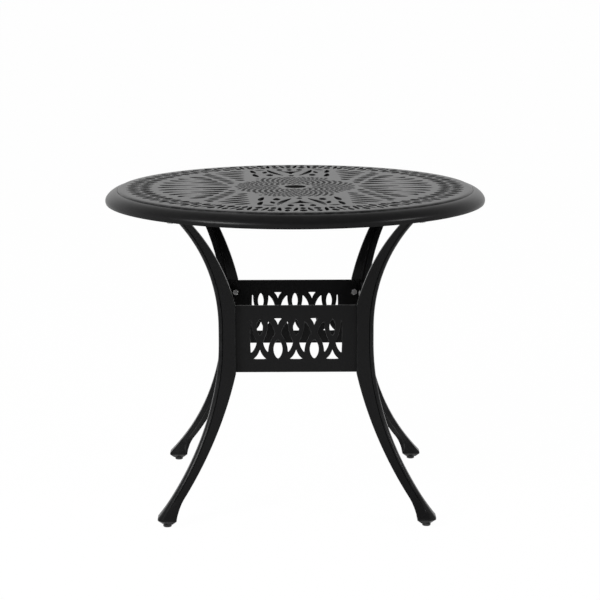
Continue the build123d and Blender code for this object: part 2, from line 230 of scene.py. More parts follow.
def drop(
    start: Point, end: Point, width: float, shoulder: float = 0.5, bulge: float = 0.0, steps: int = 6,
) -> Loop:
    """Pointed opening from a start to an end, as a file and a saw would leave it in a casting pattern.

    Args:
        start: one tip.
        end: the other tip.
        width: its greatest width.
        shoulder: share of the length at which it is widest.
        bulge: how far its middle line bends to the left on the way.
        steps: parts into which each side is divided.

    Returns:
        The closed loop.
    """
    fullness = 0.6
    power = math.log(0.5) / math.log(shoulder)
    along = Vector(end) - Vector(start)
    across = Vector((-along.y, along.x)).normalized()
    left, right = [], []
    for step in range(1, steps):
        share = 0.5 - 0.5 * math.cos(math.pi * step / steps)
        middle = Vector(start) + along * share + across * (bulge * 4 * share * (1 - share))
        reach = across * (width / 2 * math.sin(math.pi * share ** power) ** fullness)
        left.append(tuple(middle + reach))
        right.append(tuple(middle - reach))
    return [tuple(start), *left, tuple(end), *reversed(right)]


def bend(first: Vector | float, middle: Vector | float, last: Vector | float, share: float) -> Vector | float:
    """Point or value at a share of a bend that passes through its middle half way."""
    pull = 2 * middle - (first + last) / 2
    return first * (1 - share) ** 2 + pull * 2 * share * (1 - share) + last * share ** 2


def bowed(corners: Sequence[Point], sides: Sequence[Point | None], steps: int = 5) -> Loop:
    """Opening whose sides bend through one point each between its corners, or run straight for None.

    Args:
        corners: the corners in order.
        sides: a point half way along each side, or None.
        steps: parts into which a bent side is divided.

    Returns:
        The closed loop.
    """
    loop: Loop = []
    for (corner, following), side in zip(neighbours(corners), sides):
        loop.append(corner)
        if side is not None:
            ends = Vector(corner), Vector(side), Vector(following)
            loop += [tuple(bend(*ends, step / steps)) for step in range(1, steps)]
    return loop


def eased(loop: Loop) -> Loop:
    """Loop with its corners cut at a quarter of each side, as fettling leaves them."""
    ends = [(Vector(here), Vector(there)) for here, there in neighbours(loop)]
    return [
        tuple(first * (1 - share) + last * share) for first, last in ends for share in (0.25, 0.75)]


def mirrored(loop: Loop, across_x: bool = False, across_y: bool = False) -> Loop:
    """Loop flipped left to right, front to back or both."""
    return [(-x if across_x else x, -y if across_y else y) for x, y in loop]


def oriented(loop: Loop, leftwards: bool) -> Loop:
    """Loop that runs anticlockwise, or clockwise if not leftwards."""
    area = sum(xa * yb - xb * ya for (xa, ya), (xb, yb) in neighbours(loop))
    return loop if (area > 0) == leftwards else loop[::-1]


def inset(loop: Loop, distance: float) -> Loop:
    """Loop moved towards the metal on its left.

    Args:
        loop: the closed loop.
        distance: how far it moves.

    Returns:
        The moved loop.
    """
    sharpest = 0.65
    moved: Loop = []
    for number, point in enumerate(loop):
        before = (Vector(point) - Vector(loop[number - 1])).normalized()
        after = (Vector(loop[(number + 1) % len(loop)]) - Vector(point)).normalized()
        along = (before + after).normalized()
        stretch = distance / max(along.dot(before), sharpest)
        moved.append((point[0] - along.y * stretch, point[1] + along.x * stretch))
    return moved


def openwork(draft: Draft, outline: Loop, openings: list[Loop], low: float, high: float, edge: float) -> None:
    """Add a flat plate with openings, all its edges rounded.

    Args:
        draft: where the plate goes.
        outline: its outer edge.
        openings: the edges of its openings.
        low: height of its lower face.
        high: height of its upper face.
        edge: radius of the rounding.
    """
    # Weights of worn coat and painted highlight: full at the middle of each rounded edge, a share of it
    # underneath
    lower_wear_and_highlight, tolerance, inside_only = 0.3, 1e-6, 1
    upper = []
    for degrees, weight in ((0, 0.0), (45, 1.0), (90, 0.1)):
        turn = math.radians(degrees)
        upper.append((edge * (1 - math.sin(turn)), high - edge * (1 - math.cos(turn)), weight))
    profile = upper + [(reach, low + high - z, weight * lower_wear_and_highlight) for reach, z, weight in reversed(upper)]
    flat, rings, top, bottom = [], [], [], []
    for loop in [oriented(outline, True), *[oriented(opening, False) for opening in openings]]:
        rows = [
            draft.row([(x, y, height) for x, y in inset(loop, reach)], weight)
            for reach, height, weight in profile]
        for above, below in zip(rows, rows[1:]):
            draft.band(below, above)
        ring = list(range(len(flat), len(flat) + len(loop)))
        rings.append(ring[::-1] if rings else ring)
        flat += [draft.points[number].xy for number in rows[0]]
        top += rows[0]
        bottom += rows[-1]
    _, _, faces, origins, _, holders = delaunay_2d_cdt(flat, [], rings, inside_only, tolerance)
    for face, holder in zip(faces, holders):
        if holder == [0]:
            numbers = [origins[corner][0] for corner in face]
            draft.faces.append(tuple(top[number] for number in numbers))
            draft.faces.append(tuple(bottom[number] for number in reversed(numbers)))


def turned_ring(draft: Draft, profile: Profile, segments: int) -> None:
    """Add a form turned about the table's middle from a closed section."""
    for lower, upper in neighbours(draft.rings(profile, segments)):
        draft.band(lower, upper)


def rounded(corners: Profile, steps: int = 3) -> Loop:
    """Outline with its corners rounded.

    Args:
        corners: each corner's place and radius, with 0 for one that stays a point.
        steps: parts into which a rounding is divided.

    Returns:
        The closed loop.
    """
    loop: Loop = []
    for number, (x, y, radius) in enumerate(corners):
        if not radius:
            loop.append((x, y))
            continue
        corner = Vector((x, y))
        before = (Vector(corners[number - 1][:2]) - corner).normalized()
        after = (Vector(corners[(number + 1) % len(corners)][:2]) - corner).normalized()
        half = before.angle(after) / 2
        reach = radius / math.tan(half)
        middle = corner + (before + after).normalized() * (radius / math.sin(half))
        first, last = corner + before * reach - middle, corner + after * reach - middle
        for step in range(steps + 1):
            loop.append(tuple(middle + first.slerp(last, step / steps) * radius))
    return loop


@dataclass
class NodeSheet:
    """Node tree of a material or a shared effect, with short ways to add and feed nodes."""

    tree: NodeTree

    def feed(self, node: bpy.types.Node, feeds: Feeds) -> None:
        """Link sockets to a node's inputs, or set these to numbers and colours.

        Args:
            node: the node.
            feeds: what goes to its inputs, by their name or number.
        """
        for label, value in feeds.items():
            if isinstance(value, Socket):
                self.tree.links.new(value, node.inputs[label])
            else:
                node.inputs[label].default_value = value if isinstance(value, float) else (*value, 1.0)

    def add(self, kind: str, feeds: Feeds, **settings: object) -> Sockets:
        """Add a node.

        Args:
            kind: the node's type.
            feeds: what goes to its inputs, by their name or number.
            settings: properties to set first.

        Returns:
            The node's outputs.
        """
        node = self.tree.nodes.new(kind)
        for name, value in settings.items():
            setattr(node, name, value)
        self.feed(node, feeds)
        return node.outputs

    def effect(self, tree: NodeTree, values: Pair) -> Sockets:
        """Outputs of a shared effect, given the values of its two inputs."""
        return self.add("ShaderNodeGroup", dict(enumerate(values)), node_tree=tree)

    def blend(self, share: Socket, first: Socket | Colour, second: Socket | Colour) -> Socket:
        """Mix of two colours by the share of the second one."""
        return self.add("ShaderNodeMix", {"Factor": share, 6: first, 7: second}, data_type="RGBA")[2]

    def combine(self, operation: str, first: Socket, second: Socket | float) -> Socket:
        """Result of an operation on two values."""
        return self.add("ShaderNodeMath", {0: first, 1: second}, operation=operation)[0]

    def spread(self, value: Socket, results: Pair, limits: Pair = (0.0, 1.0)) -> Socket:
        """Value brought from between two limits to between two results."""
        ends = {"From Min": limits[0], "From Max": limits[1], "To Min": results[0], "To Max": results[1]}
        return self.add("ShaderNodeMapRange", {"Value": value, **ends})["Result"]

    def noise(self, scale: Socket, detail: float, roughness: float = 0.5) -> Socket:
        """Lay a noise over the piece.

        Args:
            scale: socket of its lumps per metre.
            detail: how many finer layers it has.
            roughness: how strong the finer layers are.

        Returns:
            The noise's socket.
        """
        place = self.add("ShaderNodeTexCoord", {})["Object"]
        form = {"Vector": place, "Scale": scale, "Detail": detail, "Roughness": roughness}
        return self.add("ShaderNodeTexNoise", form)["Fac"]

    def height_of(self, direction: Socket) -> Socket:
        """Upward share of a direction."""
        return self.add("ShaderNodeSeparateXYZ", {0: direction})["Z"]


def effect_group(name: str, inputs: dict[str, float], outputs: Sequence[str]) -> tuple[NodeSheet, Sockets]:
    """Start a shared effect with named inputs and outputs.

    Args:
        name: the effect's name.
        inputs: its inputs with their usual values.
        outputs: its outputs.

    Returns:
        The node sheet and the sockets of the inputs.
    """
    tree = bpy.data.node_groups.new(name, "ShaderNodeTree")
    for label, value in inputs.items():
        tree.interface.new_socket(label, in_out="INPUT", socket_type="NodeSocketFloat").default_value = value
    for label in outputs:
        tree.interface.new_socket(label, in_out="OUTPUT", socket_type="NodeSocketFloat")
    sheet = NodeSheet(tree)
    return sheet, sheet.add("NodeGroupInput", {})


class SharedEffects:
    """Effects that several finishes use, each built once."""

    def __init__(self) -> None:
        """Build all the effects."""
        self.grain = self.cast_grain()
        self.rub_and_highlight = self.edge_rub_and_highlight()
        self.dust_and_sheen = self.settled_dust_and_sheen()

    @staticmethod
    def cast_grain() -> NodeTree:
        """Fine lumps of a coated casting, with a slow change of tone across it.

        Returns:
            The node group.
        """
        sheet, given = effect_group(
            "cast_grain", {"Lumps per metre": 900.0, "Patches per metre": 14.0}, ["Height", "Tone"])
        lumps = sheet.noise(given["Lumps per metre"], 3.0, 0.6)
        patches = sheet.noise(given["Patches per metre"], 4.0, 0.65)
        sheet.add("NodeGroupOutput", {"Height": lumps, "Tone": patches})
        return sheet.tree

    @staticmethod
    def edge_rub_and_highlight() -> NodeTree:
        """Worn edges, broken up so that they come and go along a bar; on the powder coat the same mask also
        paints a highlight along the rounded edges.

        Returns:
            The node group.
        """
        sheet, given = effect_group("edge_rub_and_highlight", {"Amount": 0.5, "Breaks per metre": 60.0}, ["Mask"])
        weight = sheet.add("ShaderNodeAttribute", {}, attribute_name="wear_and_highlight")["Fac"]
        patchy = sheet.spread(sheet.noise(given["Breaks per metre"], 3.0), (0.0, 1.0), (0.42, 0.62))
        mask = sheet.combine("MULTIPLY", sheet.combine("MULTIPLY", weight, patchy), given["Amount"])
        sheet.add("NodeGroupOutput", {"Mask": mask})
        return sheet.tree

    @staticmethod
    def settled_dust_and_sheen() -> NodeTree:
        """Thin dusting on faces that look up, which also paints sheen on them and lightens the top.

        Returns:
            The node group.
        """
        sheet, given = effect_group("settled_dust_and_sheen", {"Amount": 0.3, "Patches per metre": 30.0}, ["Mask"])
        normal = sheet.add("ShaderNodeNewGeometry", {})["Normal"]
        upward = sheet.spread(sheet.height_of(normal), (0.0, 1.0), (0.6, 1.0))
        patches = sheet.noise(given["Patches per metre"], 5.0, 0.7)
        mask = sheet.combine("MULTIPLY", sheet.combine("MULTIPLY", upward, patches), given["Amount"])
        sheet.add("NodeGroupOutput", {"Mask": mask})
        return sheet.tree


def new_material(name: str) -> tuple[Material, NodeSheet, bpy.types.Node]:
    """Start a material.

    Args:
        name: the material's name.

    Returns:
        The material, its node sheet and its shader node.
    """
    material = bpy.data.materials.new(name)
    material.use_nodes = True
    return material, NodeSheet(material.node_tree), material.node_tree.nodes["Principled BSDF"]


@dataclass(frozen=True)
class Finish:
    """Finish whose tone, sheen and relief change over a piece, with worn edges that on the coat also carry a
    painted highlight, and in places a dusting on top that also paints sheen there.

    The pairs hold lumps and patches per metre of the grain, amount and breaks per metre of the worn and
    painted-highlight edges, roughness of the deep and of the pale tone, strength and depth of the relief,
    and amount and patches per metre of the dusting and painted sheen on top.
    """

    name: str
    deep: Colour
    pale: Colour
    rub_and_highlight_colour: Colour
    grain: Pair
    rub_and_highlight: Pair
    sheen: Pair
    relief: Pair
    gloss: float = 0.5
    metallic: float = 0.0
    dust_and_sheen_colour: Colour | None = None
    dust_and_sheen: Pair = (0.0, 0.0)

    def make(self, effects: SharedEffects) -> Material:
        """Build the material.

        Args:
            effects: the shared effects.

        Returns:
            The material.
        """
        material, sheet, shader = new_material(self.name)
        grain = sheet.effect(effects.grain, self.grain)
        rub_and_highlight = sheet.effect(effects.rub_and_highlight, self.rub_and_highlight)
        # Worn edges lighten the base colour, and on the coat this is also a painted highlight
        colour = sheet.blend(rub_and_highlight["Mask"], sheet.blend(grain["Tone"], self.deep, self.pale), self.rub_and_highlight_colour)
        # Faces that look up get a dusting and painted sheen that lightens the top
        if self.dust_and_sheen_colour:
            dust_and_sheen = sheet.effect(effects.dust_and_sheen, self.dust_and_sheen)
            colour = sheet.blend(dust_and_sheen["Mask"], colour, self.dust_and_sheen_colour)
        strength, depth = self.relief
        bump = sheet.add(
            "ShaderNodeBump", {"Height": grain["Height"], "Strength": strength, "Distance": depth})
        sheet.feed(shader, {
            "Base Color": colour, "Roughness": sheet.spread(grain["Tone"], self.sheen),
            "Normal": bump["Normal"], "Specular IOR Level": self.gloss, "Metallic": self.metallic})
        return material


@dataclass(frozen=True)
class PowderCoat(Finish):
    """Satin black powder coat on sand-cast aluminium."""

    name: str = "satin_powder_coat"
    deep: Colour = (0.0042, 0.0042, 0.0044)
    pale: Colour = (0.0052, 0.0052, 0.0054)
    # Edge colour: worn coat and a painted highlight along the rounded edges
    rub_and_highlight_colour: Colour = (0.05, 0.05, 0.051)
    grain: Pair = (850.0, 12.0)
    rub_and_highlight: Pair = (0.6, 55.0)
    sheen: Pair = (0.29, 0.32)
    relief: Pair = (0.5, 0.00002)
    gloss: float = 0.095
    # Colour of faces that look up: a dusting and painted sheen that lightens the top
    dust_and_sheen_colour: Colour = (0.09, 0.088, 0.086)
    dust_and_sheen: Pair = (0.12, 40.0)


@dataclass(frozen=True)
class ZincSteel(Finish):
    """Bright zinc plate on steel bolts and screws."""

    name: str = "zinc_plated_steel"
    deep: Colour = (0.42, 0.42, 0.43)
    pale: Colour = (0.66, 0.66, 0.65)
    rub_and_highlight_colour: Colour = (0.74, 0.74, 0.73)
    grain: Pair = (2400.0, 180.0)
    rub_and_highlight: Pair = (0.7, 220.0)
    sheen: Pair = (0.42, 0.22)
    relief: Pair = (0.3, 0.00005)
    metallic: float = 1.0


@dataclass(frozen=True)
class MouldedPlastic(Finish):
    """Black moulded plastic of the glides, scuffed where it meets the floor."""

    name: str = "black_moulded_plastic"
    deep: Colour = (0.005, 0.005, 0.0053)
    pale: Colour = (0.008, 0.008, 0.0083)
    rub_and_highlight_colour: Colour = (0.07, 0.068, 0.066)
    grain: Pair = (1800.0, 90.0)
    rub_and_highlight: Pair = (0.8, 160.0)
    sheen: Pair = (0.5, 0.66)
    relief: Pair = (0.3, 0.0001)


@dataclass
class Ornament:
    """Openings of the top, drawn for a field of one radius and brought to the casting's own."""

    border_outer: float
    border_inner: float
    field_radius: float
    collar_radius: float
    drawn_field: float = 330.0
    turn: float = 2.3
    waves: int = 34
    wave_gap: float = 5.0
    broad_oval: float = 17.0
    slim_oval: float = 12.0
    slant: float = 9.0
    slant_bulge: float = 1.5
    slant_ends: Pair = (0.2, 0.3)
    leaf_rows: int = 5
    leaf_pitch: float = 34.0
    leaf_width: float = 17.0
    leaf_bar: float = 9.0
    leaf_fan: float = 0.065
    leaf_sway: float = 7.0
    leaf_splits: Pair = (0.58, 0.4)
    leaf_shoulders: Pair = (0.3, 0.78)
    lobe_start: float = 145.0
    lobe_slope: float = 0.26
    lobe_curve: float = 0.0006
    lobe_margin: float = 4.0
    lobe_reach: float = 327.0
    seed_pitch: float = 7.2
    seed_length: float = 9.6
    seed_width: float = 8.2
    rosette_radius: float = 147.0
    rosette_end: float = 176.0
    rosette_spread: float = 33.0
    collar_margin: float = 4.0

    @property
    def scale(self) -> float:
        """Size of the casting's field against the drawn one."""
        return self.field_radius / self.drawn_field

    @staticmethod
    def four_ways(loops: list[Loop]) -> list[Loop]:
        """A quarter's openings with their mirror images to the side and to the back."""
        flips = ((False, False), (True, False), (False, True), (True, True))
        return [mirrored(loop, *flip) for flip in flips for loop in loops]

    def border(self) -> list[Loop]:
        """Running scroll: broad and slim ovals by turns in two rows, and slants between them.

        Returns:
            The openings.
        """
        loops = []
        step, gap = 360 / self.waves, self.wave_gap
        broad, slim = self.broad_oval, self.slim_oval
        middle = (self.border_inner + self.border_outer) / 2
        near, far = self.border_inner + gap / 2, self.border_outer - gap / 2
        for wave in range(self.waves):
            crest = wave * step
            for angle, inner_width, outer_width in ((crest, slim, broad), (crest + step / 2, broad, slim)):
                loops.append(drop(around(near, angle), around(middle - gap / 2, angle), inner_width))
                loops.append(drop(around(middle + gap / 2, angle), around(far, angle), outer_width))
            for side in (-1, 1):
                start = around(near + gap, crest + side * self.slant_ends[0] * step)
                end = around(far - gap, crest + side * self.slant_ends[1] * step)
                loops.append(drop(start, end, self.slant, bulge=side * self.slant_bulge))
        return loops

    def volutes(self) -> list[Loop]:
        """Scrolls at the front and back ends of the middle axis.

        Returns:
            The openings.
        """
        side = [
            drop((19, 200), (55, 310), 14, bulge=-5),
            drop((52, 193), (53, 230), 17),
            drop((66, 244), (61, 280), 11),
            drop((82, 176), (91, 236), 13, bulge=-2),
            drop((87, 246), (95, 304), 12, bulge=-2),
            drop((25, 294), (25, 325), 15),
            drop((62, 309), (86, 300), 11, bulge=2),
        ]
        middle = [
            bowed([(0, 226), (28, 281), (-28, 281)], [(10, 258), (0, 276), (-10, 258)]),
            drop((0, 186), (0, 208), 13, 0.6),
            drop((0, 294), (0, 325), 12),
        ]
        return self.four_ways(side) + middle + [mirrored(loop, across_y=True) for loop in middle]

    def spandrels(self) -> list[Loop]:
        """Ladders of short slots between the curved bands that run from the waist to the ring.

        Returns:
            The openings.
        """
        ladders = (
            (15.0, (
                ((117, 114), (140, 127)), ((117, 145), (154, 166)), ((116, 178), (171, 208)),
                ((115, 210), (187, 247)), ((115, 243), (179, 270)), ((114, 274), (150, 290)))),
            (14.0, (
                ((144, 58), (160, 66)), ((143, 84), (171, 99)), ((149, 112), (181, 129)),
                ((160, 143), (194, 161)), ((171, 174), (208, 193)), ((184, 205), (219, 223)),
                ((197, 235), (212, 242)))),
        )
        return self.four_ways([drop(start, end, width) for width, ends in ladders for start, end in ends])

    def lobes(self) -> list[Loop]:
        """Leaves that run outwards to each side, most of them broken once, the breaks set by turns.

        Returns:
            The openings.
        """
        loops = []
        width, half_bar, reach = self.leaf_width, self.leaf_bar / 2, self.lobe_reach
        for row in range(-self.leaf_rows, self.leaf_rows + 1):
            base, rise = row * self.leaf_pitch, self.leaf_fan * row
            near = self.lobe_start + self.lobe_slope * abs(base) + self.lobe_curve * base ** 2
            near += self.lobe_margin
            far = math.sqrt(reach ** 2 - (base + rise * (reach - near)) ** 2) - abs(rise) * self.lobe_margin
            start, end = (near, base), (far, base + rise * (far - near))
            if abs(row) == self.leaf_rows:
                loops.append(drop(start, end, width))
                continue
            split = near + self.leaf_splits[row % 2] * (far - near)
            height = base + rise * (split - near)
            bulge = self.leaf_sway if row > 0 else -self.leaf_sway
            first, second = self.leaf_shoulders
            loops.append(drop(start, (split - half_bar, height), width, first, bulge))
            loops.append(drop((split + half_bar, height), end, width, second, -bulge))
        return loops + [mirrored(loop, across_x=True) for loop in loops]

    def rosette(self) -> list[Loop]:
        """Small cells set round the umbrella collar like seeds, further out only to the front and back.

        Returns:
            The openings.
        """
        golden_angle = 180 * (3 - math.sqrt(5))
        full, far = self.rosette_radius * self.scale, self.rosette_end * self.scale
        loops = []
        for seed in range(round((far / self.seed_pitch) ** 2)):
            middle, angle = self.seed_pitch * math.sqrt(seed), golden_angle * seed % 360
            start, end = middle - self.seed_length / 2, middle + self.seed_length / 2
            from_axis = abs((angle + 90) % 180 - 90)
            limit = far if from_axis < self.rosette_spread else full
            if self.collar_radius + self.collar_margin < start and end < limit:
                loops.append(drop(around(start, angle), around(end, angle), self.seed_width, steps=4))
        return loops

    def openings(self) -> list[Loop]:
        """All openings, in place and with eased corners.

        Returns:
            The openings.
        """
        drawn = self.volutes() + self.spandrels() + self.lobes()
        loops = [[(x * self.scale, y * self.scale) for x, y in loop] for loop in drawn]
        loops += self.border() + self.rosette()
        spin = Matrix.Rotation(math.radians(self.turn), 2)
        return [eased([tuple(spin @ Vector(point)) for point in loop]) for loop in loops]


@dataclass
class TableTop:
    """Openwork casting set in a rolled rim."""

    finish: Material
    rim_width: float = 28.0
    rim_wall: float = 8.0
    rim_play: float = 0.2
    nose: float = 13.0
    nose_upper: float = 34.0
    nose_lower: float = -24.0
    ledge_width: float = 14.0
    lug_length: float = 36.0
    lug_width: float = 32.0
    seam_gap: float = 0.5
    plate: float = 8.0
    plain_border: float = 18.0
    scroll_border: float = 66.0
    ring_band: float = 7.5
    edge: float = 1.5
    edge_width: float = 14.0
    edge_fall: float = 4.0
    hole_radius: float = 25.0
    collar_width: float = 8.0
    collar_depth: float = 14.0
    boss_radius: float = 11.0
    round_segments: int = 240
    hole_segments: int = 64
    boss_segments: int = 28

    def __post_init__(self) -> None:
        """Take the outer sizes from the frame."""
        low, high = frame_box("tabletop_rim")
        self.radius = min(-low.x, -low.y, high.x, high.y)
        self.rim_low, self.rim_high = low.z, high.z
        self.high = frame_box("tabletop_grille")[1].z
        self.low = self.high - self.plate
        self.seat_radius = self.radius - self.rim_width

    def build(self) -> None:
        """Make the grille with its collar and bosses, and the rim with its lugs."""
        self.grille()
        self.rim()

    def grille(self) -> None:
        """Make the openwork casting."""
        outer = self.seat_radius - self.seam_gap
        border_outer = outer - self.plain_border
        border_inner = border_outer - self.scroll_border
        hole, wide = self.hole_radius, self.hole_radius + self.collar_width
        ornament = Ornament(border_outer, border_inner, border_inner - self.ring_band, wide)
        openings = [*ornament.openings(), circle(hole, self.hole_segments)]
        draft = Draft()
        low, high, flat = self.low, self.high, outer - self.edge_width
        openwork(draft, circle(flat + self.edge, self.round_segments), openings, low, high, self.edge)
        fall = high - self.edge_fall
        turned_ring(draft, [
            (flat + 0.2, low + 0.4, 0.0), (flat - 2, high - 1, 0.0), (flat, high, 0.0),
            (outer - 6, high - 0.7, 0.2), (outer - 3, high - 1.5, 0.6), (outer - 1, high - 2.8, 0.7),
            (outer - 0.2, fall, 0.4), (outer, fall - 1, 0.1), (outer, low + 0.4, 0.0),
            (outer - 0.4, low, 0.0), (flat + 0.6, low, 0.0)], self.round_segments)
        collar = high - self.collar_depth
        turned_ring(draft, [
            (hole, low + 1, 0.0), (hole, collar + 1, 0.3), (hole + 1, collar, 0.5), (wide - 2, collar, 0.5),
            (wide, collar + 2, 0.3), (wide, low - 1.5, 0.0), (wide + 1.5, low + 1, 0.0)], self.hole_segments)
        boss = [
            (self.boss_radius - 1, self.rim_low, 0.4), (self.boss_radius, self.rim_low + 1, 0.3),
            (self.boss_radius, low - 2, 0.0), (self.boss_radius + 2, low + 1, 0.0)]
        for corner in Corner:
            middle = around(PAD_BOLT_RADII[0], LEG_TURN - corner.value)
            draft.loft(draft.rings(boss, self.boss_segments, middle))
        make_piece("grille_casting", draft, self.finish, FRAME_BODY, "tabletop_grille")

    def nose_profile(self, seam: float) -> list[tuple[float, float, float]]:
        """Shoulder that runs from the seam in one arc into the round nose of the rim.

        Args:
            seam: radius of the seam.

        Returns:
            Radius, height and weight of worn coat and painted highlight of each point.
        """
        upper, lower = math.radians(self.nose_upper), math.radians(self.nose_lower)
        nose_middle = Vector((self.radius - self.nose, self.rim_low - self.nose * math.sin(lower)))
        facing = Vector((math.cos(upper), math.sin(upper)))
        join = nose_middle + self.nose * facing
        chord = Vector((seam, self.rim_high)) - join
        sweep = -chord.length_squared / (2 * chord.dot(facing))
        middle = join - sweep * facing
        start = math.atan2(self.rim_high - middle.y, seam - middle.x)
        shoulder_steps, nose_steps = 12, 10
        places = [
            (middle, sweep, start + (upper - start) * step / shoulder_steps)
            for step in range(shoulder_steps)]
        places += [
            (nose_middle, self.nose, upper + (lower - upper) * step / nose_steps)
            for step in range(nose_steps + 1)]
        # Weights of worn coat and painted highlight, most at the seam
        wear_and_highlight = [0.4] * 2 + [0.02] * (len(places) - 2)
        return [
            (centre.x + radius * math.cos(angle), centre.y + radius * math.sin(angle), weight)
            for (centre, radius, angle), weight in zip(places, wear_and_highlight)]

    def rim(self) -> None:
        """Make the rolled edge with its ledge and lugs."""
        seam = self.seat_radius + self.rim_play
        inner, ledge = self.radius - self.rim_wall, self.seat_radius - self.ledge_width
        rim_low, low = self.rim_low, self.low
        draft = Draft()
        turned_ring(draft, [
            (seam, low, 0.0), (seam, self.rim_high - 0.6, 0.1), *self.nose_profile(seam),
            (inner, rim_low, 0.2), (inner - 1.5, rim_low + 1.5, 0.0), (ledge + 2, low - 7, 0.0),
            (ledge, low - 5.5, 0.0), (ledge, low - 0.6, 0.1), (ledge + 0.6, low, 0.1)], self.round_segments)
        length, width = self.lug_length / 2, self.lug_width / 2
        outline = rounded([
            (-length, -width, 5), (length, -width, 2), (length, width, 2), (-length, width, 5)])
        for corner in Corner:
            first = len(draft.points)
            openwork(draft, outline, [], rim_low, low - 0.5, 1.0)
            out = Matrix.Translation((self.seat_radius - length, 0, 0))
            draft.move(first, turned(LEG_TURN + corner.value) @ out)
        make_piece("rim_casting", draft, self.finish, FRAME_BODY, "tabletop_rim")


